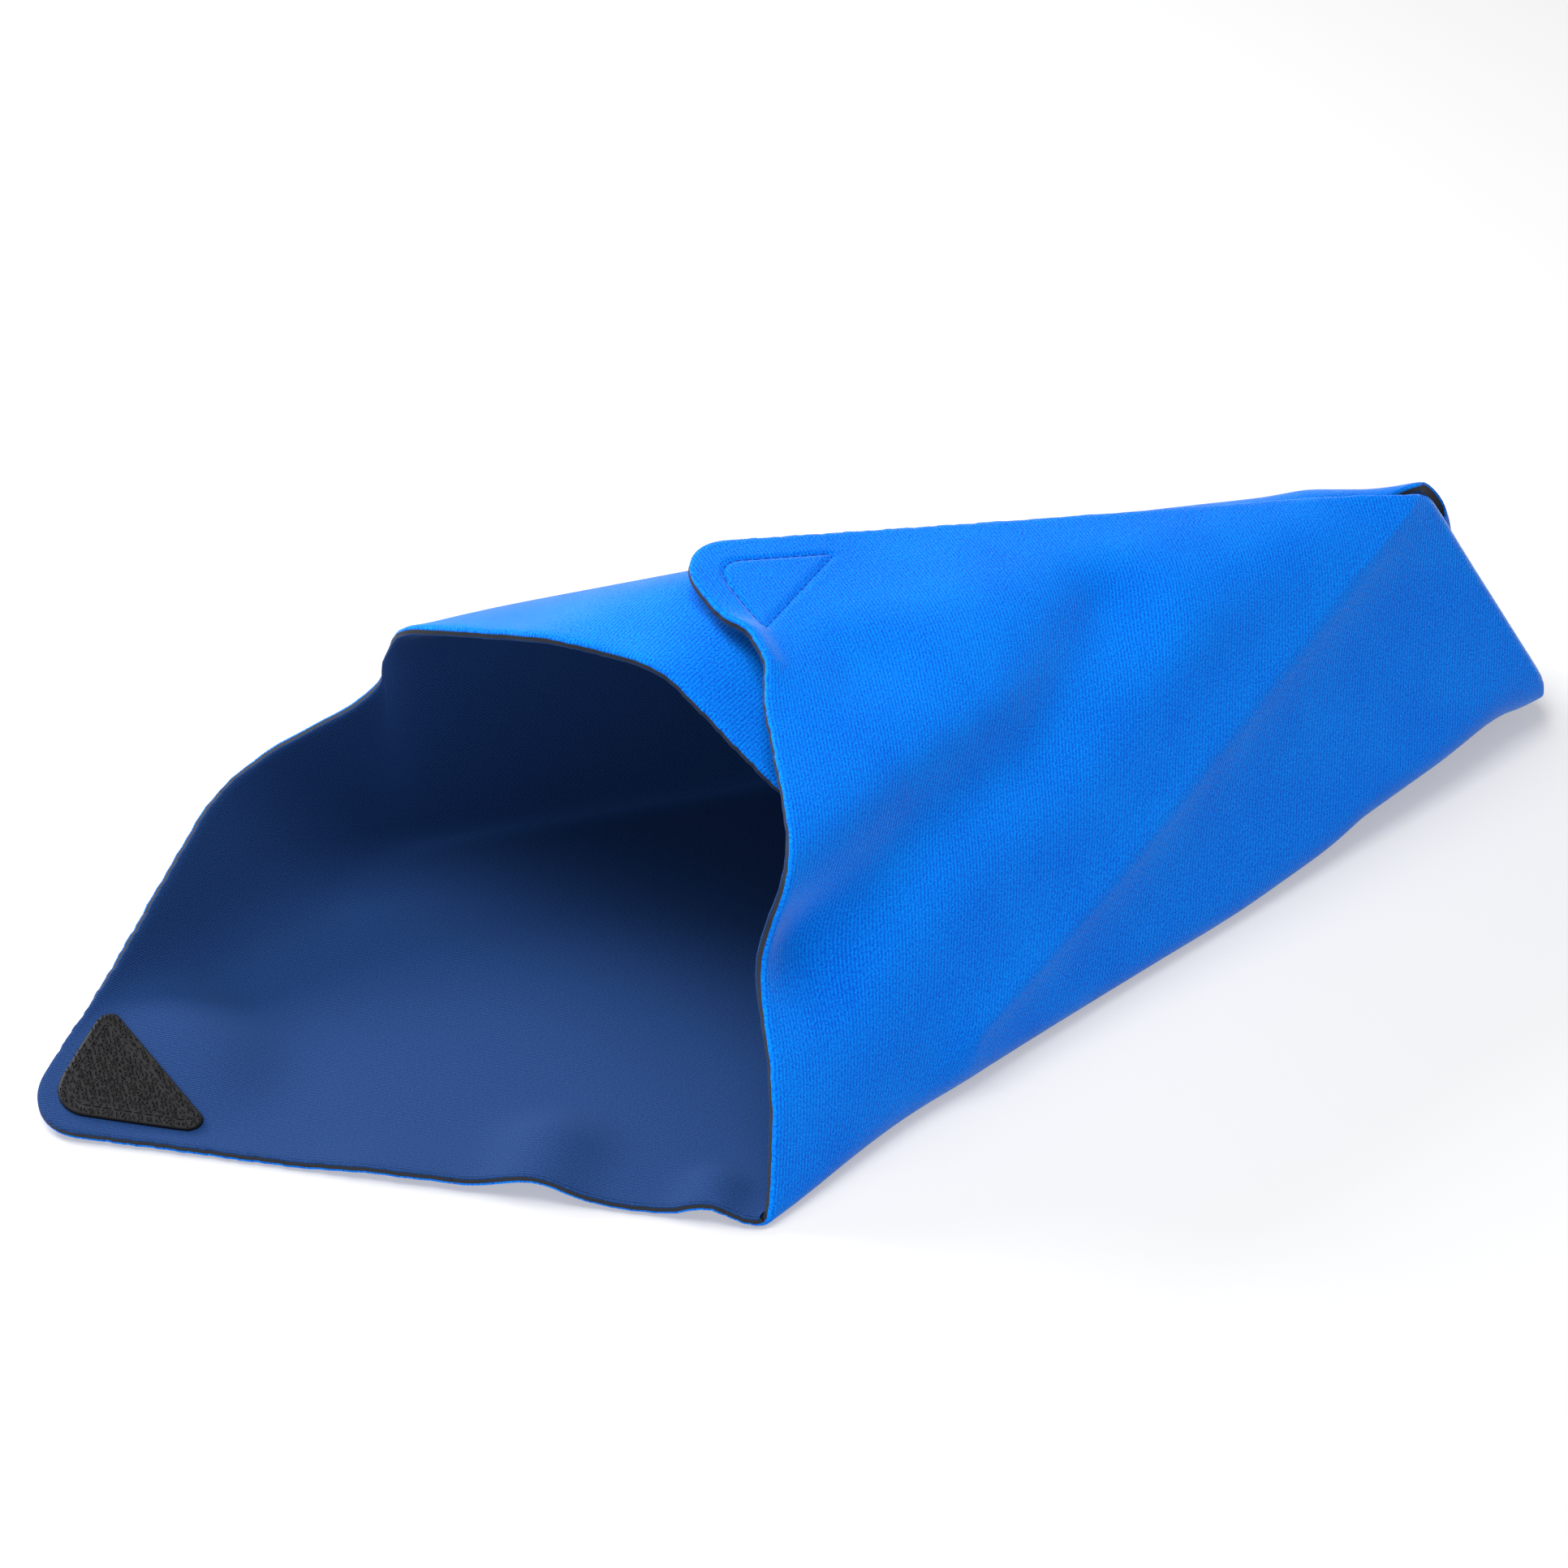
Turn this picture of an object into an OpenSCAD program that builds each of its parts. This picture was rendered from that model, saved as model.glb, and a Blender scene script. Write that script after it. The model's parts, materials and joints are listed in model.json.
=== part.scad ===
// Camera wrap: a square of padded cloth folded round a camera with its lens.
// The cloth is a bonded sheet of loop pile, foam and lining. Two corners carry a hook patch.
// Millimetres, +Z up. The origin is on the table at the middle of the pocket's mouth,
// with +X along the pocket to its narrow end and +Y to the back.
//
// Flat cloth places are [p, q]: p runs along the diagonal from the closing corner,
// q runs across it, to the front below zero and to the back above zero.

/* [Cloth] */
// Side of the square cloth
side = 500; // [470:1:530]
// Radius of the cloth's corners
corner_r = 22; // [12:1:30]
// Loop pile fabric on the outside
pile_t = 0.8; // [0.5:0.1:1.4]
// Foam core
foam_t = 2.6; // [1.5:0.1:3.5]
// Jersey lining on the inside
lining_t = 0.6; // [0.4:0.1:1]

/* [Folds on the flat cloth] */
// From the closing corner along the front edge to the fold at the mouth
front_fold_at = 250; // [235:1:265]
// From the closing corner along the back edge to the fold at the mouth
back_fold_at = 240; // [228:1:252]
// From the closing corner along the diagonal to the turned-in end
end_fold_at = 560; // [540:1:580]
// From the closing corner along the diagonal to the line where the floor lifts off the table
lift_fold_at = 400; // [370:1:430]
// Radius over which a fold is rounded off
fold_r = 14; // [11:1:18]
// The same in the loose corner behind the closing flap
slack_r = 26; // [20:1:32]
// The same at the turned-in end
end_r = 22; // [18:1:26]

/* [Pocket] */
// Width of the floor at the mouth
mouth_w = 256; // [240:1:275]
// How far the front of the mouth stands ahead of its back
mouth_skew = 19; // [10:1:28]
// Height of the pocket's crown at the mouth
crown_h = 129; // [118:1:142]
// Drop from the crown to the top of the back wall
back_drop = 24; // [16:1:30]
// Drop from the crown to the front shoulder
shoulder_drop = 26; // [18:1:34]
// Room between the rear flap and the front flap that lies over it
lap_rise = 8; // [7:0.5:11]
// Length of the pocket from the mouth to the turned-in end
pocket_len = 401; // [385:1:415]
// Length of the floor that lies on the table
flat_len = 230; // [212:1:245]
// Width of the floor at the end
end_w = 71; // [62:1:80]
// Height of the end
end_h = 110; // [102:1:118]
// How far the end is lifted off the table
end_lift = 11; // [8:1:16]

/* [Closing flap] */
// From the mouth to the flap's first fold, as the cloth lies flat
base_len = 50; // [42:1:58]
// From the first fold to the fold of the tip
middle_len = 63; // [56:1:68]
// Cloth left standing on the pocket's side of the mouth fold
mouth_lip = 11; // [8:1:15]
// Free cut between two folding panels
fold_gap = 0.6; // [0.4:0.1:1]

/* [Hook patches] */
// Long leg of the hook patch, before its corners are rounded
patch_long = 60; // [50:1:62]
// Short leg of the hook patch
patch_short = 46; // [38:1:50]
// Distance of the patch from the cloth's edges
patch_inset = 7; // [5:0.5:8]
// Thickness of the patch
patch_t = 1.3; // [0.9:0.1:1.8]
// Radius of the patch's square corner
patch_r = 14; // [8:1:18]
// Radius of the patch's sharp corners
patch_tip_r = 4; // [3:0.5:6]

/* [Hidden] */

pile_colour = "#1268e0";
foam_colour = "#26272b";
lining_colour = "#24437c";
hook_colour = "#1b1b1d";

sheet_t = pile_t + foam_t + lining_t;
half = side / sqrt(2);

function unit(v) = v / norm(v);
function mix(a, b, t) = a + (b - a) * t;
function ramp(t) = let (c = min(max(t, 0), 1)) c * c * (3 - 2 * c);

// Places on the flat cloth, along its front edge and along its back edge
function front_edge(d) = [d, -d] / sqrt(2);
function back_edge(d) = [d, d] / sqrt(2);

// Lengths of edge between the folds past the mouth
shoulder_len = 123;
brow_len = 65;
crown_len = 85;
hump_len = 45;
tuck_len = 54;
front_tip_len = side - front_fold_at - shoulder_len - brow_len;
rear_tip_len = side - back_fold_at - crown_len - hump_len - tuck_len;

// Ways in which the three free corners point
closing_way = unit([-195, 158, 0]);
rear_way = unit([52, -23, -62]);
front_way = unit([-4, 59, 16]);

// Shares of a fold's length at which another fold meets it
ridge_share = 0.176;
lift_front_share = 0.557;
lift_back_share = 0.58;
top_share = 0.3;
swell_share = 0.2;
end_front_share = 0.27;

// Fold points in space, each set off from one before it
mouth_front = [mouth_skew / 2, -mouth_w / 2, 0];
mouth_back = [-mouth_skew / 2, mouth_w / 2, 0];
closing_corner = mouth_front + front_fold_at * closing_way;
back_top = mouth_back + [-6, -21, crown_h - back_drop];
slack_high = mix(mouth_back, back_top, 0.67) + [-1, 5, 4];
slack_low = mix(mouth_back, back_top, 0.42) + [-62, 2, 11];
crown = back_top + [27, -68, back_drop];
hump = crown + [22, -40, 4];
tuck = hump + [20, -41, -28];
rear_corner = tuck + rear_tip_len * rear_way;
shoulder = mouth_front + [34, 50, crown_h - shoulder_drop];
brow = shoulder + [17, 60, shoulder_drop - 3 + lap_rise];
front_corner = brow + front_tip_len * front_way;
end_front = [pocket_len, 9, end_lift];
end_back = end_front + [0, end_w, -3];
end_top = [pocket_len - 59, 18, end_h];
end_top_back = end_top + [8, 14, 0];
top_edge = mix(front_corner, end_top, top_share) + [0, 2, -1];
swell = mix(crown, end_top_back, swell_share) + [0, 2, 14];
ridge_foot = mix(mouth_front, end_front, ridge_share) - [0, 0, end_lift * ridge_share];
lift_front = [flat_len, mix(mouth_front, end_front, lift_front_share).y - 1, 0];
lift_back = [flat_len + 2, mix(mouth_back, end_back, lift_back_share).y - 9, 0];

// The fold net: each point is a flat place and where it goes in space
end_w_flat = half * 2 - end_fold_at;
q_end_front = -end_w_flat * end_front_share;
q_end_back = q_end_front + end_w - 2;
floor_share = 0.726;
ridge_flat_share = 0.204;
flat_front = front_edge(front_fold_at);
flat_back = back_edge(back_fold_at);
flat_floor_back = mix(flat_front, flat_back, floor_share);
flat_end_front = [end_fold_at, q_end_front];
flat_end_back = [end_fold_at, q_end_back];
flat_end_top = [end_fold_at, -end_w_flat];
flat_end_top_back = [end_fold_at, end_w_flat];
lift_share = (lift_fold_at - flat_front.x) / (end_fold_at - flat_front.x);
A = [[0, 0], closing_corner];
F = [flat_front, mouth_front];
G = [flat_floor_back, mouth_back];
H = [flat_back, back_top];
N1 = [flat_back * 0.62, slack_low];
N2 = [flat_back * 0.87, slack_high];
K1 = [back_edge(back_fold_at + crown_len), crown];
K2 = [back_edge(back_fold_at + crown_len + hump_len), hump];
K3 = [back_edge(side - rear_tip_len), tuck];
D = [back_edge(side), rear_corner];
M1 = [front_edge(front_fold_at + shoulder_len), shoulder];
M2 = [front_edge(side - front_tip_len), brow];
B = [front_edge(side), front_corner];
E1 = [flat_end_front, end_front];
E2 = [flat_end_top, end_top];
E3 = [flat_end_top_back, end_top_back];
E4 = [flat_end_back, end_back];
T1 = [mix(B[0], E2[0], top_share), top_edge];
S1 = [mix(K1[0], E3[0], swell_share), swell];
R1 = [mix(flat_front, flat_end_front, ridge_flat_share), ridge_foot];
L1 = [mix(flat_front, flat_end_front, lift_share), lift_front];
L2 = [mix(flat_floor_back, flat_end_back, lift_share), lift_back];
NET = [
    [A, F, G], [A, G, N1], [N1, G, N2], [N2, G, H],
    [F, R1, G], [R1, L2, G], [R1, L1, L2], [L1, E1, E4], [L1, E4, L2],
    [G, L2, H], [L2, E3, H], [L2, E4, E3],
    [F, E2, R1], [R1, E2, L1], [L1, E2, E1],
    [F, M1, E2], [M1, M2, E2], [M2, T1, E2], [M2, B, T1],
    [H, E3, S1], [H, S1, K1], [K1, S1, K2], [S1, E3, K2], [K2, E3, K3], [K3, E3, D]
];

// Each triangle's shares of its three corners, as a matrix that a flat place [p, q, 1] multiplies
function cross2(a, b) = a.x * b.y - a.y * b.x;
function share_rows(tri) =
    let (o = tri[0][0], u = tri[1][0] - o, v = tri[2][0] - o, area = cross2(u, v))
    let (s = [v.y, -v.x, -cross2(o, v)] / area, t = [-u.y, u.x, -cross2(u, o)] / area)
    [[0, 0, 1] - s - t, s, t];
SHARES = [for (tri = NET) share_rows(tri)];
CORNERS = [for (tri = NET) [for (corner = tri) corner[1]]];

// The sharply folded cloth: the triangle that holds the place best carries it
function sharp(at) =
    let (place = [at.x, at.y, 1], low = [for (m = SHARES) min(m * place)])
    let (i = search(max(low), low)[0])
    let (o = (SHARES[i] * place) * CORNERS[i])
    [o.x, o.y, max(o.z, 0)];

// Past an edge of the cloth the net goes on as it came, turned half round the edge
function held(v) = min(max(v, 0), side);
function inside(at) =
    let (a = held((at.x - at.y) / sqrt(2)), b = held((at.x + at.y) / sqrt(2)))
    [a + b, b - a] / sqrt(2);
function continued(at) =
    let (in = inside(at)) norm(at - in) < 1e-6 ? sharp(at) : 2 * sharp(in) - sharp(2 * in - at);

// The soft cloth: the sharp one averaged over a disc, so that every fold is rounded off
RINGS = 3;
RING = concat(
    [[0, 0]],
    [for (k = [1 : RINGS]) for (i = [1 : 6 * k]) let (a = 60 * i / k) [cos(a), sin(a)] * k / RINGS]
);
mouth_p = flat_front.x;
loosen_len = 60;
function round_r(at) =
    fold_r + (slack_r - fold_r) * ramp((mouth_p - mouth_lip - at.x) / loosen_len)
    + (end_r - fold_r) * ramp((at.x - end_fold_at + loosen_len) / loosen_len);
function soft(at) =
    let (r = round_r(at), reach = [for (d = RING) continued(at + r * d)])
    ([for (d = RING) 1] * reach) / len(RING);

// Outer face, inward normal and way along the diagonal at a flat place
step = 1;
function frame_at(at) =
    let (o = soft(at), along = soft(at + [step, 0]) - o, across = soft(at + [0, step]) - o)
    [o, unit(cross(along, across)), unit(along)];

// Past the end fold the cloth turns in on itself: a half round, then flat on the lining
hem_gap = 1.6;
turn_r = sheet_t + hem_gap / 2;
turn_len = 180 * turn_r * PI / 180;
function cloth_point(f, past, depth) =
    past <= 0 ? f[0] + f[1] * depth
    : past >= turn_len ? f[0] + f[1] * (2 * turn_r - depth)
    : let (a = 180 * past / turn_len)
      f[0] + f[1] * turn_r + (turn_r - depth) * (f[2] * sin(a) - f[1] * cos(a));

// A solid layer between two depths over a grid of places [p, q, past the end fold]
module layer(grid, from, to) {
    rows = len(grid);
    cols = len(grid[0]);
    frames = [for (row = grid) [for (g = row) frame_at([g.x, g.y])]];
    points = [
        for (depth = [from, to]) for (r = [0 : rows - 1]) for (c = [0 : cols - 1])
            cloth_point(frames[r][c], grid[r][c][2], depth)
    ];
    count = rows * cols;
    last = cols - 1;
    end = rows - 1;
    turn = cross2(grid[1][0] - grid[0][0], grid[0][last] - grid[0][0]) > 0;
    function id(r, c, top) = top * count + r * cols + c;
    function quad(a, b, c, d) = turn ? [[a, b, c], [a, c, d]] : [[c, b, a], [d, c, a]];
    faces = [
        for (r = [0 : rows - 2]) for (c = [0 : cols - 2])
            each quad(id(r, c, 0), id(r + 1, c, 0), id(r + 1, c + 1, 0), id(r, c + 1, 0)),
        for (r = [0 : rows - 2]) for (c = [0 : cols - 2])
            each quad(id(r, c, 1), id(r, c + 1, 1), id(r + 1, c + 1, 1), id(r + 1, c, 1)),
        for (r = [0 : rows - 2])
            each quad(id(r + 1, 0, 0), id(r, 0, 0), id(r, 0, 1), id(r + 1, 0, 1)),
        for (r = [0 : rows - 2])
            each quad(id(r + 1, last, 0), id(r + 1, last, 1), id(r, last, 1), id(r, last, 0)),
        for (c = [0 : cols - 2])
            each quad(id(0, c + 1, 0), id(0, c + 1, 1), id(0, c, 1), id(0, c, 0)),
        for (c = [0 : cols - 2])
            each quad(id(end, c, 0), id(end, c, 1), id(end, c + 1, 1), id(end, c + 1, 0))
    ];
    polyhedron(points, faces);
}
module pile(grid) { color(pile_colour) layer(grid, 0, pile_t); }
module foam(grid) { color(foam_colour) layer(grid, pile_t, pile_t + foam_t); }
module lining(grid) { color(lining_colour) layer(grid, pile_t + foam_t, sheet_t); }

// Pocket strips: rows from the mouth to the end fold, round the turn and along the tucked-in corner
lip_front = front_edge(front_fold_at - mouth_lip * sqrt(2));
lip_back = back_edge(back_fold_at - mouth_lip * sqrt(2));
lip_floor_back = mix(lip_front, lip_back, floor_share);
body_rows = 12;
body_steps = [for (k = [0 : body_rows]) (k / body_rows + sin(90 * k / body_rows)) / 2];
hem_end = end_w_flat - corner_r * (sqrt(2) - cos(30));
hem_trim = 12;
hem_notch = 20;
notch_rate = 1.5;
hem_past = concat(
    [for (a = [0.25 : 0.25 : 1]) a * turn_len],
    [for (t = [0.3, 0.65, 1]) mix(turn_len, hem_end, t)]
);
function even(n) = [for (k = [0 : n]) k / n];
function both_ends(n) = [for (k = [0 : n]) (1 - cos(180 * k / n)) / 2];
function far_end(n) = [for (k = [0 : n]) sin(90 * k / n)];
function hem_place(q0, q1, v, past) =
    let (keep = 1 - min(1, notch_rate * past / turn_len) * 2 * hem_notch / abs(q1 - q0))
    let (narrow = min(1, past / (end_w_flat + hem_trim)))
    [end_fold_at - max(0, past - turn_len), mix(q0, q1, 0.5 + (v - 0.5) * keep * (1 - narrow)), past];
function strip(m0, m1, q0, q1, cols) = concat(
    [for (u = body_steps) [for (v = cols)
        let (at = mix(mix(m0, m1, v), [end_fold_at, mix(q0, q1, v)], u)) [at.x, at.y, 0]]],
    [for (past = hem_past) [for (v = cols) hem_place(q0, q1, v, past)]]
);
floor_cols = both_ends(8);
wall_cols = both_ends(7);
floor_grid = strip(lip_front, lip_floor_back, q_end_front, q_end_back, floor_cols);
front_gore_grid = strip(flat_front, lip_front, -end_w_flat, q_end_front, far_end(6));
back_wall_grid = strip(lip_floor_back, lip_back, q_end_back, end_w_flat, wall_cols);

// Corner flaps: rows from the base to the round tip, each from one leg to the other
tip_rows = [30, 15];
function row_between(a, b, cols) = [for (c = cols) let (at = mix(a, b, c)) [at.x, at.y, 0]];
function flap(corner, leg_a, len_a, leg_b, len_b, rows, cols) =
    let (out = unit(leg_a + leg_b) * corner_r, side_way = unit(leg_a - leg_b) * corner_r)
    concat(
        [for (t = even(rows)) let (a = leg_a * mix(len_a, corner_r, t), b = leg_b * mix(len_b, corner_r, t))
            row_between(corner + a, corner + b, cols)],
        [for (turn = tip_rows) let (mid = corner + out * (sqrt(2) - cos(turn)))
            row_between(mid + side_way * sin(turn), mid - side_way * sin(turn), cols)]
    );
rear_legs = [unit([-1, -1]), unit([1, -1])];
rear_lens = [norm(D[0] - lip_back), norm(D[0] - E3[0])];
rear_flap_grid = flap(D[0], rear_legs[0], rear_lens[0], rear_legs[1], rear_lens[1], 10, body_steps);
front_legs = [unit([-1, 1]), unit([1, 1])];
flap_gap = fold_gap * 4;
front_lens = [norm(B[0] - F[0]) - flap_gap, norm(B[0] - E2[0]) - flap_gap];
front_flap_grid = flap(B[0], front_legs[0], front_lens[0], front_legs[1], front_lens[1], 11, body_steps);

// Closing flap: panels between lines that run with the mouth, and a slack gusset behind them
closing_len = lip_front.x;
fold_1 = base_len / closing_len;
fold_2 = (base_len + middle_len) / closing_len;
cut = fold_gap / closing_len / 2;
gusset_from = 5;
front_cols = even(8);
gusset_lip = mix(lip_front, lip_floor_back, floor_cols[gusset_from]);
gusset_cols = concat(
    [for (k = [gusset_from : len(floor_cols) - 1]) mix(lip_front, lip_floor_back, floor_cols[k])],
    [for (k = [1 : len(wall_cols) - 1]) mix(lip_floor_back, lip_back, wall_cols[k])]
);
function toward_corner(at, t) = let (b = at * (1 - t)) [b.x, b.y, 0];
function panel(t0, t1, rows) = [for (t = even(rows)) let (f = mix(t0, t1, t))
    [for (c = front_cols) toward_corner(mix(lip_front, gusset_lip - [0, fold_gap], c), f)]];
closing_base_grid = panel(2 * cut, fold_1 - cut, 3);
closing_middle_grid = panel(fold_1 + cut, fold_2 - cut, 4);
gusset_end = fold_2 - 2 * cut;
back_gusset_grid = [for (t = even(7)) [for (at = gusset_cols) toward_corner(at, t * gusset_end)]];
tip_from = lip_front.x * (1 - fold_2 - cut);
tip_lens = tip_from * sqrt(2) * [1, norm(lip_back) / norm(lip_front)];
closing_tip_grid = flap(A[0], unit([1, -1]), tip_lens[0], unit([1, 1]), tip_lens[1], 4, even(8));

// Hook patch: a triangle with one square corner and round corners, on the lining
patch_angle = atan(patch_short / patch_long);
patch_long_tip = [patch_long - patch_tip_r / tan(patch_angle / 2), patch_tip_r];
patch_short_tip = [patch_tip_r, patch_short - patch_tip_r / tan(45 - patch_angle / 2)];
function on_arc(centre, r, a) = centre + r * [cos(a), sin(a)];
patch_rows = concat(
    [for (a = [15 : 15 : 45]) [for (s = [-1, 1]) on_arc(patch_r * [1, 1], patch_r, 225 + s * a)]],
    [for (t = even(3)) [
        on_arc(patch_short_tip, patch_tip_r, mix(180, 90 - patch_angle, t)),
        on_arc(patch_long_tip, patch_tip_r, mix(-90, 90 - patch_angle, t))
    ]]
);
function patch_grid(corner, long_way, short_way) = [for (row = patch_rows) [for (c = even(6))
    let (own = mix(row[0], row[1], c) + patch_inset * [1, 1])
    let (at = corner + own.x * long_way + own.y * short_way) [at.x, at.y, 0]]];
patch_gap = 0.3;
patch_from = sheet_t + patch_gap;
module hook_patch(grid) { color(hook_colour) layer(grid, patch_from, patch_from + patch_t); }

pile(floor_grid);  // floor_pile
foam(floor_grid);  // floor_foam
lining(floor_grid);  // floor_lining
pile(front_gore_grid);  // front_gore_pile
foam(front_gore_grid);  // front_gore_foam
lining(front_gore_grid);  // front_gore_lining
pile(back_wall_grid);  // back_wall_pile
foam(back_wall_grid);  // back_wall_foam
lining(back_wall_grid);  // back_wall_lining
pile(rear_flap_grid);  // rear_flap_pile
foam(rear_flap_grid);  // rear_flap_foam
lining(rear_flap_grid);  // rear_flap_lining
pile(back_gusset_grid);  // back_gusset_pile
foam(back_gusset_grid);  // back_gusset_foam
lining(back_gusset_grid);  // back_gusset_lining
pile(front_flap_grid);  // front_flap_pile
foam(front_flap_grid);  // front_flap_foam
lining(front_flap_grid);  // front_flap_lining
pile(closing_base_grid);  // closing_base_pile
foam(closing_base_grid);  // closing_base_foam
lining(closing_base_grid);  // closing_base_lining
pile(closing_middle_grid);  // closing_middle_pile
foam(closing_middle_grid);  // closing_middle_foam
lining(closing_middle_grid);  // closing_middle_lining
pile(closing_tip_grid);  // closing_tip_pile
foam(closing_tip_grid);  // closing_tip_foam
lining(closing_tip_grid);  // closing_tip_lining
hook_patch(patch_grid(A[0], unit([1, -1]), unit([1, 1])));  // closing_hook_patch
hook_patch(patch_grid(B[0], unit([1, 1]), unit([-1, 1])));  // front_hook_patch
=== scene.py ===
# %% [markdown]
# # A padded camera wrap
#
# The object is one square of padded cloth, folded round a camera and lying on a table.
# Its outside is a blue loop pile, its inside a navy jersey, with dark foam between them.
# One corner lies open before the mouth and carries a black hook patch. The front corner is
# folded up over the pocket, and the stitching of its own patch shows on the outside.
#
# The lesson goes from the flat cloth to the folded one: the fold net, the soft surface, the
# pieces that move, the patches with their thread, the materials, and the studio.

import json
import math

import bpy
import numpy as np
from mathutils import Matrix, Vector


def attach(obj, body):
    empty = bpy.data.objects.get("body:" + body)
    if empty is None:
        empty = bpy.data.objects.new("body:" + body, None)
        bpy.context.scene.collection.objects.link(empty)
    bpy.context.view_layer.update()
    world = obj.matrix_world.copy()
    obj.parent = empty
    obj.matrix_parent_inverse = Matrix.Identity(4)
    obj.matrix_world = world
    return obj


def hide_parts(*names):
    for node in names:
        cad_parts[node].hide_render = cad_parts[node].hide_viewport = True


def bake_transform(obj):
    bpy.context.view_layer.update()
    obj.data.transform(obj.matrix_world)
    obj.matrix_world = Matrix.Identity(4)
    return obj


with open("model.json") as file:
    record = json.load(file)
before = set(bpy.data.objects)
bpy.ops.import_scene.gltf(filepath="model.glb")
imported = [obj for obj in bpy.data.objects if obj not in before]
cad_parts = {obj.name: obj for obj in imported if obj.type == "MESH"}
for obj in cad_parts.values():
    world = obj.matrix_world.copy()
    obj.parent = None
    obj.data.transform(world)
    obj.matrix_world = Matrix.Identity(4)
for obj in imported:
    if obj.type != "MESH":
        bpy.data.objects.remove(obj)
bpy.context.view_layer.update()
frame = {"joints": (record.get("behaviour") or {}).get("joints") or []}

# %% [markdown]
# ## 1. The cloth and where it folds
#
# All sizes are in millimetres until a mesh is made. A place on the flat cloth is (p, q): p runs
# along the diagonal from the closing corner, q across it, below zero to the front.

# %%
MM = 0.001
ROOT2 = math.sqrt(2)

SIDE, CORNER_R = 500.0, 22.0
PILE_T, FOAM_T, LINING_T = 0.8, 2.6, 0.6
SHEET_T = PILE_T + FOAM_T + LINING_T

FRONT_FOLD, BACK_FOLD, END_FOLD, LIFT_FOLD = 250.0, 240.0, 560.0, 400.0
FOLD_R, SLACK_R, END_R = 14.0, 26.0, 22.0
MOUTH_W, MOUTH_SKEW, CROWN_H, BACK_DROP, SHOULDER_DROP, LAP_RISE = 256.0, 19.0, 129.0, 24.0, 26.0, 8.0
POCKET_LEN, FLAT_LEN, END_W, END_H, END_LIFT = 401.0, 230.0, 71.0, 110.0, 11.0
MOUTH_LIP = 11.0
SHOULDER_LEN, BROW_LEN, CROWN_LEN, HUMP_LEN, TUCK_LEN = 123.0, 65.0, 85.0, 45.0, 54.0
FRONT_TIP_LEN = SIDE - FRONT_FOLD - SHOULDER_LEN - BROW_LEN
REAR_TIP_LEN = SIDE - BACK_FOLD - CROWN_LEN - HUMP_LEN - TUCK_LEN


def vec(*numbers):
    return np.array(numbers, float)


def unit(v):
    return v / np.linalg.norm(v, axis=-1, keepdims=True)


def mix(a, b, t):
    return a + (b - a) * t


def ramp(t):
    t = np.clip(t, 0, 1)
    return t * t * (3 - 2 * t)


def front_edge(d):
    return vec(d, -d) / ROOT2


def back_edge(d):
    return vec(d, d) / ROOT2


# %% [markdown]
# The fold points in space are set off from one another, from the mouth backwards.

# %%
mouth_front = vec(MOUTH_SKEW / 2, -MOUTH_W / 2, 0)
mouth_back = vec(-MOUTH_SKEW / 2, MOUTH_W / 2, 0)
closing_corner = mouth_front + FRONT_FOLD * unit(vec(-195, 158, 0))
back_top = mouth_back + vec(-6, -21, CROWN_H - BACK_DROP)
slack_high = mix(mouth_back, back_top, 0.67) + vec(-1, 5, 4)
slack_low = mix(mouth_back, back_top, 0.42) + vec(-62, 2, 11)
crown = back_top + vec(27, -68, BACK_DROP)
hump = crown + vec(22, -40, 4)
tuck = hump + vec(20, -41, -28)
rear_corner = tuck + REAR_TIP_LEN * unit(vec(52, -23, -62))
shoulder = mouth_front + vec(34, 50, CROWN_H - SHOULDER_DROP)
brow = shoulder + vec(17, 60, SHOULDER_DROP - 3 + LAP_RISE)
front_corner = brow + FRONT_TIP_LEN * unit(vec(-4, 59, 16))
end_front = vec(POCKET_LEN, 9, END_LIFT)
end_back = end_front + vec(0, END_W, -3)
end_top = vec(POCKET_LEN - 59, 18, END_H)
end_top_back = end_top + vec(8, 14, 0)
top_edge = mix(front_corner, end_top, 0.3) + vec(0, 2, -1)
SWELL_SHARE = 0.2
swell = mix(crown, end_top_back, SWELL_SHARE) + vec(0, 2, 14)
ridge_foot = mix(mouth_front, end_front, 0.176) - vec(0, 0, END_LIFT * 0.176)
lift_front = vec(FLAT_LEN, mix(mouth_front, end_front, 0.557)[1] - 1, 0)
lift_back = vec(FLAT_LEN + 2, mix(mouth_back, end_back, 0.58)[1] - 9, 0)

end_half = SIDE * ROOT2 - END_FOLD
q_end_front = -end_half * 0.27
q_end_back = q_end_front + END_W - 2
flat_front, flat_back = front_edge(FRONT_FOLD), back_edge(BACK_FOLD)
FLOOR_SHARE = 0.726
flat_floor_back = mix(flat_front, flat_back, FLOOR_SHARE)
flat_end_front, flat_end_back = vec(END_FOLD, q_end_front), vec(END_FOLD, q_end_back)
lift_share = (LIFT_FOLD - flat_front[0]) / (END_FOLD - flat_front[0])

A = (vec(0, 0), closing_corner)
F = (flat_front, mouth_front)
G = (flat_floor_back, mouth_back)
H = (flat_back, back_top)
N1 = (flat_back * 0.62, slack_low)
N2 = (flat_back * 0.87, slack_high)
K1 = (back_edge(BACK_FOLD + CROWN_LEN), crown)
K2 = (back_edge(BACK_FOLD + CROWN_LEN + HUMP_LEN), hump)
K3 = (back_edge(SIDE - REAR_TIP_LEN), tuck)
D = (back_edge(SIDE), rear_corner)
M1 = (front_edge(FRONT_FOLD + SHOULDER_LEN), shoulder)
M2 = (front_edge(SIDE - FRONT_TIP_LEN), brow)
B = (front_edge(SIDE), front_corner)
E1 = (flat_end_front, end_front)
E2 = (vec(END_FOLD, -end_half), end_top)
E3 = (vec(END_FOLD, end_half), end_top_back)
E4 = (flat_end_back, end_back)
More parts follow.
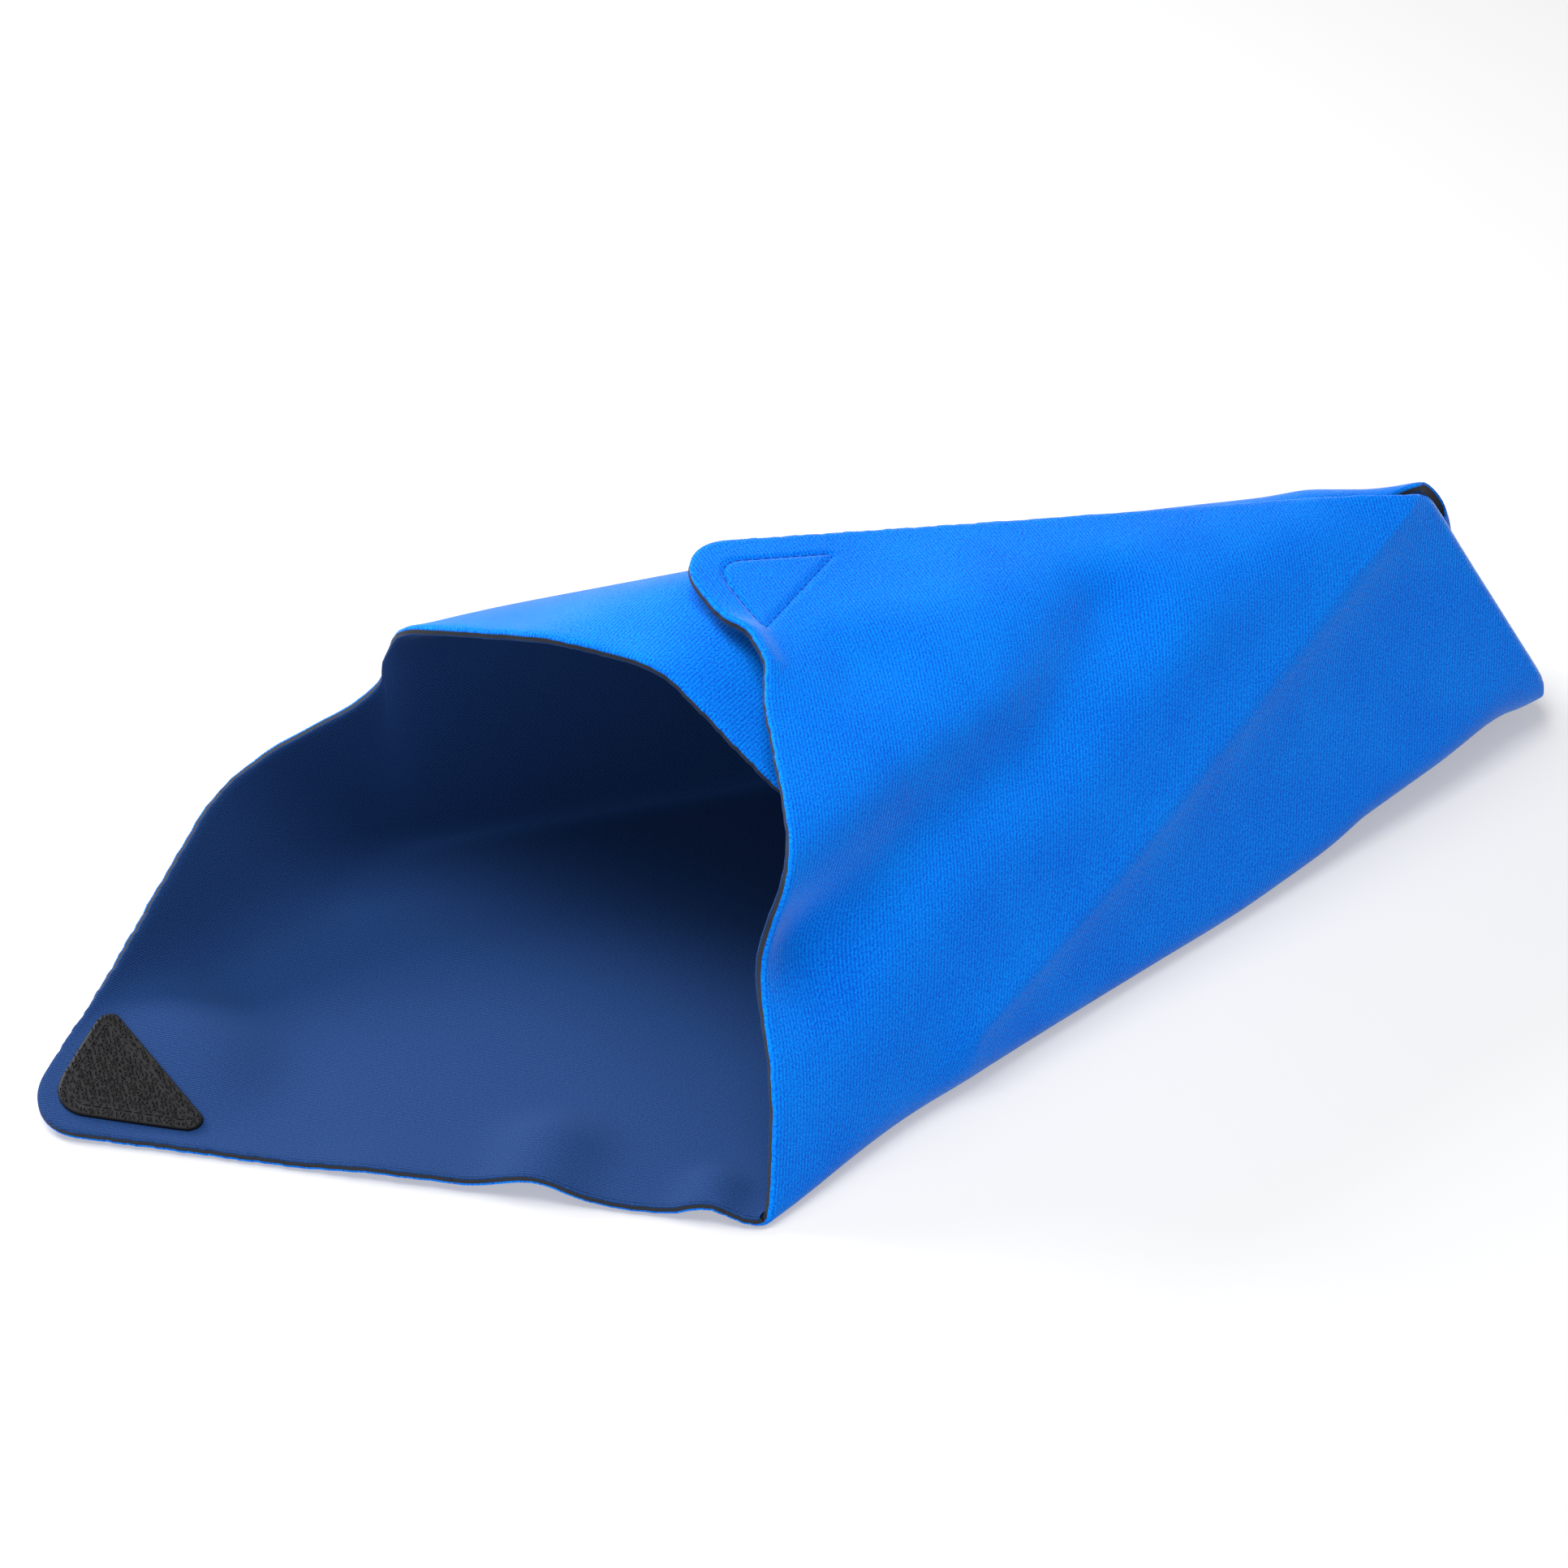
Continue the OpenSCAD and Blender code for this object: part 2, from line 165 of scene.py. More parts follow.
T1 = (mix(B[0], E2[0], 0.3), top_edge)
S1 = (mix(K1[0], E3[0], SWELL_SHARE), swell)
R1 = (mix(flat_front, flat_end_front, 0.204), ridge_foot)
L1 = (mix(flat_front, flat_end_front, lift_share), lift_front)
L2 = (mix(flat_floor_back, flat_end_back, lift_share), lift_back)
NET = [
    (A, F, G), (A, G, N1), (N1, G, N2), (N2, G, H),
    (F, R1, G), (R1, L2, G), (R1, L1, L2), (L1, E1, E4), (L1, E4, L2),
    (G, L2, H), (L2, E3, H), (L2, E4, E3),
    (F, E2, R1), (R1, E2, L1), (L1, E2, E1),
    (F, M1, E2), (M1, M2, E2), (M2, T1, E2), (M2, B, T1),
    (H, E3, S1), (H, S1, K1), (K1, S1, K2), (S1, E3, K2), (K2, E3, K3), (K3, E3, D),
]
print("fold net of", len(NET), "triangles")

# %% [markdown]
# ## 2. From the sharp net to soft cloth
#
# A flat place is carried by the triangle that holds it. Averaged over a small disc, the net loses
# its sharp folds. Then come the dents, long soft rises and hollows that the photograph shows, and one
# crease.

# %%
SHARES = np.array([np.linalg.inv(np.vstack([np.array([c[0] for c in tri]).T, [1, 1, 1]])) for tri in NET])
CORNERS = np.array([[c[1] for c in tri] for tri in NET])
RINGS = 4
RING = [(0.0, 0.0)] + [
    (k / RINGS * math.cos(2 * math.pi * i / (6 * k)), k / RINGS * math.sin(2 * math.pi * i / (6 * k)))
    for k in range(1, RINGS + 1)
    for i in range(6 * k)
]


def sharp(places):
    ones = np.concatenate([places, np.ones((len(places), 1))], 1)
    shares = np.einsum("tij,nj->nti", SHARES, ones)
    best = shares.min(2).argmax(1)
    own = shares[np.arange(len(places)), best]
    out = np.einsum("ni,nij->nj", own, CORNERS[best])
    out[:, 2] = np.maximum(out[:, 2], 0)
    return out


def held_inside(places):
    p, q = np.minimum(places[:, 0], END_FOLD), places[:, 1]
    a, b = np.clip((p - q) / ROOT2, 0, SIDE), np.clip((p + q) / ROOT2, 0, SIDE)
    return np.stack([(a + b) / ROOT2, (b - a) / ROOT2], 1)


def continued(places):
    """Past an edge the net goes on as it came, so that an edge stays where the net has it."""
    inside = held_inside(places)
    past = np.abs(places - inside).max(1) > 1e-6
    out = sharp(inside)
    if past.any():
        out[past] = 2 * out[past] - sharp(2 * inside[past] - places[past])
    return out


# Over what length the rounding changes, how near the mouth's foot it is tight, and by what share
ROUND_RUN, TIGHT_IN, TIGHTER = 60.0, 45.0, 0.55


def round_r(places):
    """Rounder in the slack corner and at the end, tight where the front fold meets the mouth."""
    p = places[:, 0]
    loose = ramp((flat_front[0] - MOUTH_LIP - p) / ROUND_RUN)
    far = ramp((p - END_FOLD + ROUND_RUN) / ROUND_RUN)
    tight = np.exp(-((np.linalg.norm(places - flat_front, axis=1) / TIGHT_IN) ** 2))
    return (FOLD_R + (SLACK_R - FOLD_R) * loose + (END_R - FOLD_R) * far) * (1 - TIGHTER * tight)


def soft(places):
    r = round_r(places)[:, None]
    return sum(continued(places + r * vec(*d)) for d in RING) / len(RING)


# The line that a dent follows on the flat cloth, how wide it is, and how far it moves the cloth
DENTS = [
    ([(210, -230), (246, -227)], 20, (-1, 8, 0)),
    ([(250, -226), (314, -224), (365, -211), (420, -213)], 21, (0, 10, -4)),
    ([(470, -75), (540, -47)], 16, (0, 0, 3.5)),
    ([(552, -42), (560, -36)], 15, (1, 0, -4)),
    ([(336, -282), (344, -276)], 14, (0, 1, -2)),
    ([front_edge(172), front_edge(172) + 14], 15, (0, 0, 6)),
    ([front_edge(229), front_edge(229) + 8], 9, (0, 0, 4)),
    ([front_edge(120), front_edge(140)], 16, (0, 0, 1.5)),
    ([front_edge(452), front_edge(440)], 9, (4, 0, 2)),
    ([(520, 150), (556, 147)], 18, (-4, 0, 3)),
]
# The ridge from the mouth's foot to the narrow end is a crease: it stays, and the cloth sinks beside it
CREASE = [(285, -158), (362, -152), (552, -148)]
CREASE_R, CREASE_NEAR, CREASE_FAR, CREASE_MOVE = 1.5, 18, 50, (-3, 10, 0)


def from_line(places, line):
    gaps = []
    for start, end in zip(line, line[1:]):
        start, along = vec(*start), vec(*end) - vec(*start)
        t = np.clip((places - start) @ along / (along @ along), 0, 1)
        gaps.append(np.linalg.norm(places - start - t[:, None] * along, axis=1))
    return np.min(gaps, axis=0)


def dents(places):
    wide = sum(np.exp(-((from_line(places, line) / w) ** 2))[:, None] * vec(*v) for line, w, v in DENTS)
    gap = np.hypot(from_line(places, CREASE), CREASE_R) - CREASE_R
    return wide + (np.exp(-gap / CREASE_FAR) - np.exp(-gap / CREASE_NEAR))[:, None] * vec(*CREASE_MOVE)


def loose_shape(places):
    return soft(places) + dents(places)


# %% [markdown]
# ## 3. A grid over the whole cloth
#
# The cloth is cut along its folds into patches of rows and columns. Neighbouring patches share the
# places on their common edge, so that the welded grid is one sheet. Steps are finer along the cut
# edge, which is rounded, and at the two corners that carry stitching.

# %%
CELL, TIP_CELL, TIP_LEN = 2.6, 1.0, 70.0
lip_front = front_edge(FRONT_FOLD - MOUTH_LIP * ROOT2)
lip_back = back_edge(BACK_FOLD - MOUTH_LIP * ROOT2)
lip_floor_back = mix(lip_front, lip_back, FLOOR_SHARE)
HEM_GAP, HEM_INSET, HEM_SPARE = 1.6, 20.0, 12.0
turn_r = SHEET_T + HEM_GAP / 2
turn_len = math.pi * turn_r
hem_end = end_half - CORNER_R * (ROOT2 - math.cos(math.radians(30)))
hem_past = np.concatenate([np.linspace(0.1, 1, 10) * turn_len, np.linspace(turn_len, hem_end, 26)[1:]])


def cells(length, cell=CELL, fine_start=False, fine_end=False):
    steps = np.linspace(0, 1, max(2, round(length / cell)) + 1)
    fine = np.array([0.25, 0.6]) * steps[1]
    extra = [fine] * fine_start + [1 - fine] * fine_end
    return np.unique(np.concatenate([steps, *extra]))


def row_between(a, b, steps):
    return np.array([np.append(mix(a, b, t), 0) for t in steps])


def strip(mouth_a, mouth_b, q_a, q_b, cols):
    """A panel of the pocket from the mouth to its end, with the hem that is turned in there."""
    rows = []
    for u in pocket_steps:
        rows.append(row_between(mix(mouth_a, vec(END_FOLD, q_a), u), mix(mouth_b, vec(END_FOLD, q_b), u), cols))
    for past in hem_past:
        keep = 1 - min(1, 1.5 * past / turn_len) * 2 * HEM_INSET / abs(q_b - q_a)
        narrow = min(1, past / (end_half + HEM_SPARE))
        q = mix(q_a, q_b, 0.5 + (cols - 0.5) * keep * (1 - narrow))
        p = END_FOLD - max(0, past - turn_len)
        rows.append(np.stack([np.full_like(q, p), q, np.full_like(q, past)], 1))
    return np.array(rows)


def corner_flap(corner, leg_a, len_a, leg_b, len_b, cols, row_steps):
    """A corner of the cloth, in rows from its base to its round tip."""
    rows = []
    for t in row_steps:
        start, end = (corner + leg * mix(length, CORNER_R, t) for leg, length in ((leg_a, len_a), (leg_b, len_b)))
        rows.append(row_between(start, end, cols))
    out, side = unit(leg_a + leg_b) * CORNER_R, unit(leg_a - leg_b) * CORNER_R
    for turn in np.radians(np.concatenate([np.arange(42, 3, -3), [2.0, 1.0]])):
        mid = corner + out * (ROOT2 - math.cos(turn))
        rows.append(row_between(mid + side * math.sin(turn), mid - side * math.sin(turn), cols))
    return np.array(rows)


def tip_steps(length):
    coarse = np.arange(0, length - TIP_LEN, CELL)
    return np.concatenate([coarse, np.linspace(length - TIP_LEN, length, round(TIP_LEN / TIP_CELL) + 1)]) / length


# About how wide the wall and the gore are, and how long a corner flap is, to count their cells
WALL_W, GORE_W, FLAP_L = 110.0, 80.0, 200.0
pocket_steps = cells(END_FOLD - flat_front[0], CELL, True, True)
floor_cols = cells(np.linalg.norm(lip_floor_back - lip_front), CELL, fine_start=True)
wall_cols = cells(WALL_W, CELL, fine_end=True)
gore_cols = cells(GORE_W)
lip_cols = np.concatenate([floor_cols * FLOOR_SHARE, FLOOR_SHARE + (1 - FLOOR_SHARE) * wall_cols[1:]])

# How far from the lip the closing flap is parted into pieces
CUTS = (62.0, 101.0)
flap_len = lip_front[0] - CORNER_R / ROOT2
closing_steps = np.concatenate([
    cells(CUTS[0]) * CUTS[0],
    CUTS[0] + cells(CUTS[1] - CUTS[0])[1:] * (CUTS[1] - CUTS[0]),
    CUTS[1] + cells(flap_len - CUTS[1], TIP_CELL)[1:] * (flap_len - CUTS[1]),
]) / flap_len

DOWN_FRONT, DOWN_BACK = unit(vec(1, -1)), unit(vec(1, 1))


def apart(a, b):
    return np.linalg.norm(a - b)


patches = {
    "floor": strip(lip_front, lip_floor_back, q_end_front, q_end_back, floor_cols),
    "gore": strip(flat_front, lip_front, -end_half, q_end_front, gore_cols),
    "wall": strip(lip_floor_back, lip_back, q_end_back, end_half, wall_cols),
    "rear": corner_flap(
        D[0], -DOWN_BACK, apart(D[0], lip_back), DOWN_FRONT, apart(D[0], E3[0]), pocket_steps, tip_steps(FLAP_L)
    ),
    "front": corner_flap(
        B[0], -DOWN_FRONT, apart(B[0], F[0]), DOWN_BACK, apart(B[0], E2[0]), pocket_steps, tip_steps(FLAP_L)
    ),
    "closing": corner_flap(
        A[0], DOWN_FRONT, apart(lip_front, A[0]), DOWN_BACK, apart(lip_back, A[0]), lip_cols, closing_steps
    ),
}
print({name: patch.shape[:2] for name, patch in patches.items()})

# %% [markdown]
# The patches are welded into one grid, and each face remembers its patch and its row.

# %%
def patch_faces(patch, first):
    rows, cols = patch.shape[:2]
    ids = first + np.arange(rows * cols).reshape(rows, cols)
    faces = np.stack([ids[:-1, :-1], ids[1:, :-1], ids[1:, 1:], ids[:-1, 1:]], -1)
    a, b = patch[1, 0, :2] - patch[0, 0, :2], patch[0, -1, :2] - patch[0, 0, :2]
    if a[0] * b[1] - a[1] * b[0] > 0:
        faces = faces[..., ::-1]
    return faces.reshape(-1, 4), np.repeat(np.arange(rows - 1), cols - 1)


def border_edges(faces):
    """Edges that one face alone has, in that face's direction."""
    edges = np.concatenate([np.stack([faces[:, k], faces[:, (k + 1) % 4]], 1) for k in range(4)])
    _, index, count = np.unique(np.sort(edges, 1), axis=0, return_index=True, return_counts=True)
    return edges[index[count == 1]]


places, quads, owner, row_of = [], [], [], []
for name, patch in patches.items():
    faces, rows = patch_faces(patch, sum(len(p) for p in places))
    places.append(patch.reshape(-1, 3))
    quads.append(faces)
    row_of.append(rows)
    owner += [name] * len(faces)
places, quads, row_of = np.concatenate(places), np.concatenate(quads), np.concatenate(row_of)
owner = np.array(owner)
_, keep, back = np.unique(np.round(places, 3), axis=0, return_index=True, return_inverse=True)
places, quads = places[keep], back.reshape(-1)[quads]
print("cloth grid:", len(places), "places,", len(quads), "faces,", len(border_edges(quads)), "edges on the cut")

# %% [markdown]
# ## 4. The stitched triangles
#
# Each patch is a triangle with round corners, longer along one edge of the cloth than along the other.
# The same outline, moved inwards, is the line of stitches. A patch is stiff, so the open corner is nearly
# plane under it.

# %%
PATCH_LONG, PATCH_SHORT, PATCH_INSET, PATCH_T = 60.0, 46.0, 7.0, 1.3
PATCH_RADII = (14.0, 4.0, 4.0)
SEAM_INSET, SEAM_STEP, LEAST_R = 3.8, 0.5, 0.8


def inset_outline(inset, arc_steps=10):
    """The triangle's outline in (along the long leg, along the short leg), moved inwards."""
    corners = [vec(0, 0), vec(PATCH_LONG, 0), vec(0, PATCH_SHORT)]
    points = []
    for k in range(3):
        at, before, after = corners[k], corners[k - 1], corners[(k + 1) % 3]
        u, v = unit(before - at), unit(after - at)
        half = math.acos(u @ v) / 2
        centre = at + unit(u + v) * max(PATCH_RADII[k], inset + LEAST_R) / math.sin(half)
        r = max(PATCH_RADII[k] - inset, LEAST_R)
        start = math.atan2(u[0], -u[1])
        sweep = math.pi - 2 * half
        for i in range(arc_steps + 1):
            turn = start + sweep * i / arc_steps
            points.append(centre + r * vec(math.cos(turn), math.sin(turn)))
    return np.array(points) + PATCH_INSET


def resampled(points, step):
    """The same closed line with points a step apart."""
    ring = np.concatenate([points, points[:1]])
    run = np.concatenate([[0], np.cumsum(np.linalg.norm(np.diff(ring, axis=0), axis=1))])
    at = np.linspace(0, run[-1], max(8, round(run[-1] / step)) + 1)[:-1]
    return np.stack([np.interp(at, run, ring[:, k]) for k in range(ring.shape[1])], 1)


# Corner of the cloth, the way of the long leg and that of the short one
CORNERS_STITCHED = {"closing": (A[0], DOWN_FRONT, DOWN_BACK), "front": (B[0], DOWN_BACK, -DOWN_FRONT)}


def on_cloth(corner, local):
    at, long_way, short_way = CORNERS_STITCHED[corner]
    return at + local[:, :1] * long_way + local[:, 1:2] * short_way


# How far from the patch's middle the corner is plane, and how softly the plane ends on the table
STIFF_IN, TOUCH_SOFT = 44.0, 1.0
stiff_corners = on_cloth("closing", PATCH_INSET + vec(0, 0, PATCH_LONG, 0, 0, PATCH_SHORT).reshape(3, 2))
stiff_plane = np.linalg.solve(np.append(stiff_corners, np.ones((3, 1)), 1), loose_shape(stiff_corners))


def shape(places):
    out = loose_shape(places)
    plane = np.append(places, np.ones((len(places), 1)), 1) @ stiff_plane
    plane[:, 2] = (plane[:, 2] + np.hypot(plane[:, 2], TOUCH_SOFT)) / 2
    gap = np.linalg.norm(places - stiff_corners.mean(0), axis=1)
    return mix(out, plane, np.exp(-((gap / STIFF_IN) ** 4))[:, None])


def surface(places):
    """Outer points, inward normals and the ways along p, at flat places."""
    o = shape(places)
    along = shape(places + [1, 0]) - o
    across = shape(places + [0, 1]) - o
    return o, unit(np.cross(along, across)), unit(along)


seam_local = resampled(inset_outline(SEAM_INSET), SEAM_STEP)
seam_places = {corner: on_cloth(corner, seam_local) for corner in CORNERS_STITCHED}
print("patch outline of", len(inset_outline(0)), "points, seam of", round(SEAM_STEP * len(seam_local)), "mm")

# %% [markdown]
# ## 5. The cloth's two faces
#
# The outer face follows the soft surface, and the hem turns in at the narrow end. Towards the cut
# edge both faces round off, the cut wanders a little as a hand-guided knife does, and the
# stitching draws the pile down.

# %%
GROOVE_DEPTH, GROOVE_W, GROOVE_REACH = 0.7, 0.9, 60.0
ROUND_IN, OUTER_DROP, INNER_DROP = 2.4, 1.1, 0.7
# How far the cut wanders, how deep into the cloth, how it dies out at a corner, and its waves as
# length, start and height
RAGGED, WANDER_IN, WANDER_END = 0.13, 6.0, 10.0
WAVES = ((1.13, 0, 1.0), (0.61, 1, 0.8), (2.9, 2, 0.9))


def edge_distance(places):
    """How far a flat place is from the cut edge of the round-cornered square."""
    p, q = places[:, 0], places[:, 1]
    half = SIDE / 2
    x, y = np.abs((p - q) / ROOT2 - half), np.abs((p + q) / ROOT2 - half)
    inner_half = half - CORNER_R
    dx, dy = x - inner_half, y - inner_half
    past = np.hypot(np.maximum(dx, 0), np.maximum(dy, 0)) + np.minimum(np.maximum(dx, dy), 0)
    return np.where(places[:, 2] > 0, SIDE, np.maximum(CORNER_R - past, 0))


def rounding(distance, drop):
    t = np.clip(1 - distance / ROUND_IN, 0, 1)
    return drop * (1 - np.sqrt(1 - t * t))


def groove(places):
    depth = np.zeros(len(places))
    for line in seam_places.values():
        near = np.linalg.norm(places[:, :2] - line.mean(0), axis=1) < GROOVE_REACH
        gap = np.linalg.norm(places[near, None, :2] - line[None], axis=2).min(1)
        depth[near] += GROOVE_DEPTH * np.exp(-((gap / GROOVE_W) ** 2))
    return depth


def outer_points(places):
    out = shape(places[:, :2])
    hem = places[:, 2] > 0
    o, n, along = surface(places[hem, :2])
    a = np.pi * np.clip(places[hem, 2:] / turn_len, 0, 1)
    out[hem] = o + n * turn_r + turn_r * (along * np.sin(a) - n * np.cos(a))
    return out


def vertex_normals(points, faces):
    across = np.cross(points[faces[:, 2]] - points[faces[:, 0]], points[faces[:, 3]] - points[faces[:, 1]])
    out = np.zeros_like(points)
    for k in range(4):
        np.add.at(out, faces[:, k], across)
    return unit(out)


def wander(places):
    """How the cut strays in and out along a straight edge; it is true at the round corners."""
    p, q, half = places[:, 0], places[:, 1], SIDE / 2
    a, b = (p - q) / ROOT2 - half, (p + q) / ROOT2 - half
    on_a = np.abs(a) > np.abs(b)
    run = np.where(on_a, b, a)
    stray = sum(height * np.sin(run / length + start) for length, start, height in WAVES)
    near = np.clip(1 - edge_gap / WANDER_IN, 0, 1) * np.clip((half - CORNER_R - np.abs(run)) / WANDER_END, 0, 1)
    return np.where(on_a[:, None], DOWN_FRONT, DOWN_BACK) * (RAGGED * stray * near)[:, None]


edge_gap = edge_distance(places)
wandered = places.copy()
wandered[:, :2] += wander(places)
middle_face = outer_points(wandered)
outward = vertex_normals(middle_face, quads)
outer_depth = rounding(edge_gap, OUTER_DROP)
inner_depth = SHEET_T - rounding(edge_gap, INNER_DROP)
outer = middle_face - outward * (outer_depth + groove(places))[:, None]
inner = middle_face - outward * inner_depth[:, None]
print("lowest", outer[:, 2].min().round(2), "highest", outer[:, 2].max().round(2))

# %% [markdown]
# ## 6. Materials
#
# Colours are written as on a screen and turned into linear light by one function.

# %%
def colour(hex_text):
    parts = [int(hex_text[i : i + 2], 16) / 255 for i in (1, 3, 5)]
    return [c / 12.92 if c <= 0.04045 else ((c + 0.055) / 1.055) ** 2.4 for c in parts] + [1.0]


def material(name):
    m = bpy.data.materials.new(name)
    m.use_nodes = True
    m.node_tree.nodes.clear()
    return m


def add(m, kind, inputs=None, **settings):
    """One node. An input is a constant, or the output socket that feeds it."""
    node = m.node_tree.nodes.new("ShaderNode" + kind)
    for key, value in settings.items():
        setattr(node, key, value)
    for key, value in (inputs or {}).items():
        if isinstance(value, bpy.types.NodeSocket):
            m.node_tree.links.new(value, node.inputs[key])
        else:
            node.inputs[key].default_value = value
    return node


def math_node(m, operation, a, b=0.0):
    return add(m, "Math", {0: a, 1: b}, operation=operation).outputs[0]


def mix_colour(m, factor, dark, light):
    return add(m, "Mix", {0: factor, 6: dark, 7: light}, data_type="RGBA").outputs[2]


def output(m, shader):
    add(m, "OutputMaterial", {"Surface": shader.outputs[0]})
    return m


def flat_coords(m):
    """Distance along the back edge of the flat cloth, and the flat place, both in millimetres."""
    uv = add(m, "UVMap", uv_map="flat").outputs["UV"]
    place = add(m, "VectorMath", {0: uv, "Scale": 1000.0}, operation="SCALE").outputs["Vector"]
    xyz = add(m, "SeparateXYZ", {0: place})
    both = math_node(m, "ADD", xyz.outputs["X"], xyz.outputs["Y"])
    return math_node(m, "MULTIPLY", both, 1 / ROOT2), place


def noise(m, place, per_mm, detail=3.0, roughness=0.6):
    inputs = {"Vector": place, "Scale": per_mm, "Detail": detail, "Roughness": roughness}
    return add(m, "TexNoise", inputs).outputs["Fac"]


# How far apart the columns of loops are, in millimetres
WALE, JERSEY_WALE = 1.35, 0.9


def make_pile():
    m = material("loop_pile")
    along_back, place = flat_coords(m)
    wale = math_node(m, "SINE", math_node(m, "MULTIPLY", along_back, 2 * math.pi / WALE))
    loops = noise(m, place, 1.4, 3.0, 0.65)
    patchy = noise(m, place, 0.03)
    speck = math_node(m, "ADD", math_node(m, "MULTIPLY", wale, 0.07), loops)
    bump = add(m, "Bump", {"Strength": 0.7, "Distance": 0.0005, "Height": speck}).outputs["Normal"]
    fine = math_node(m, "MULTIPLY", math_node(m, "SUBTRACT", speck, 0.5), 3.5)
    grain = math_node(m, "ADD", fine, math_node(m, "MULTIPLY", patchy, 0.5))
    tone = mix_colour(m, math_node(m, "ADD", grain, 0.25), colour("#0050d0"), colour("#008cf6"))
    return output(m, add(m, "BsdfPrincipled", {
        "Base Color": tone, "Roughness": 0.95, "Specular IOR Level": 0.1, "Normal": bump,
        "Sheen Weight": 1.0, "Sheen Roughness": 0.22, "Sheen Tint": colour("#dceeff"),
    }))


def make_lining():
    m = material("jersey_lining")
    along_back, place = flat_coords(m)
    wale = math_node(m, "SINE", math_node(m, "MULTIPLY", along_back, 2 * math.pi / JERSEY_WALE))
    grain = noise(m, place, 1.8, 3.0, 0.7)
    height = math_node(m, "ADD", math_node(m, "MULTIPLY", wale, 0.12), grain)
    bump = add(m, "Bump", {"Strength": 0.4, "Distance": 0.0002, "Height": height}).outputs["Normal"]
    speck = math_node(m, "ADD", math_node(m, "MULTIPLY", math_node(m, "SUBTRACT", height, 0.5), 2.2), 0.5)
    tone = mix_colour(m, speck, colour("#041a42"), colour("#184480"))
    return output(m, add(m, "BsdfPrincipled", {
        "Base Color": tone, "Roughness": 0.85, "Specular IOR Level": 0.2, "Normal": bump,
        "Sheen Weight": 0.1, "Sheen Roughness": 0.4, "Sheen Tint": colour("#8fb0e0"),
    }))


def make_foam():
    m = material("foam_core")
    position = add(m, "NewGeometry").outputs["Position"]
    cell = add(m, "TexVoronoi", {"Vector": position, "Scale": 2600.0}).outputs["Distance"]
    bump = add(m, "Bump", {"Strength": 0.5, "Distance": 0.0002, "Height": cell}).outputs["Normal"]
    tone = mix_colour(m, cell, colour("#0d1016"), colour("#1f242d"))
    return output(m, add(m, "BsdfPrincipled", {"Base Color": tone, "Roughness": 0.9, "Normal": bump}))


def make_plain(name, dark, light, roughness):
    m = material(name)
    grain = noise(m, add(m, "NewGeometry").outputs["Position"], 1400.0)
    tone = mix_colour(m, grain, colour(dark), colour(light))
    inputs = {"Base Color": tone, "Roughness": roughness, "Specular IOR Level": 0.12}
    return output(m, add(m, "BsdfPrincipled", inputs))


pile, lining, foam = make_pile(), make_lining(), make_foam()
hook = make_plain("hook_tape", "#050507", "#19191c", 0.5)
black_thread = make_plain("black_thread", "#0e0e10", "#202023", 0.6)
blue_thread = make_plain("blue_thread", "#063f9e", "#0c5ac4", 0.7)
print("materials", [m.name for m in bpy.data.materials])

# %% [markdown]
# ## 7. The pieces of cloth
#
# Each piece is a closed sheet: its share of the outer face, the inner face below it, and a rim in
# three bands round its border, where the cut shows pile, foam and lining.

# %%
# How far down the rim each band goes, and its material
BANDS = ((PILE_T / SHEET_T, 0), ((PILE_T + FOAM_T) / SHEET_T, 2), (1.0, 1))


def link_mesh(name, points, faces, materials, slots=None):
    mesh = bpy.data.meshes.new(name)
    mesh.from_pydata((np.asarray(points) * MM).tolist(), [], [list(f) for f in faces])
    for m in materials:
        mesh.materials.append(m)
    if slots is not None:
        mesh.polygons.foreach_set("material_index", slots)
    mesh.shade_smooth()
    o = bpy.data.objects.new(name, mesh)
    bpy.context.collection.objects.link(o)
    return o


# The flat places with the hem laid out again, for the texture and the size that each piece is cut to
unfolded = np.stack([np.where(places[:, 2] > 0, END_FOLD + places[:, 2], places[:, 0]), places[:, 1]], 1)


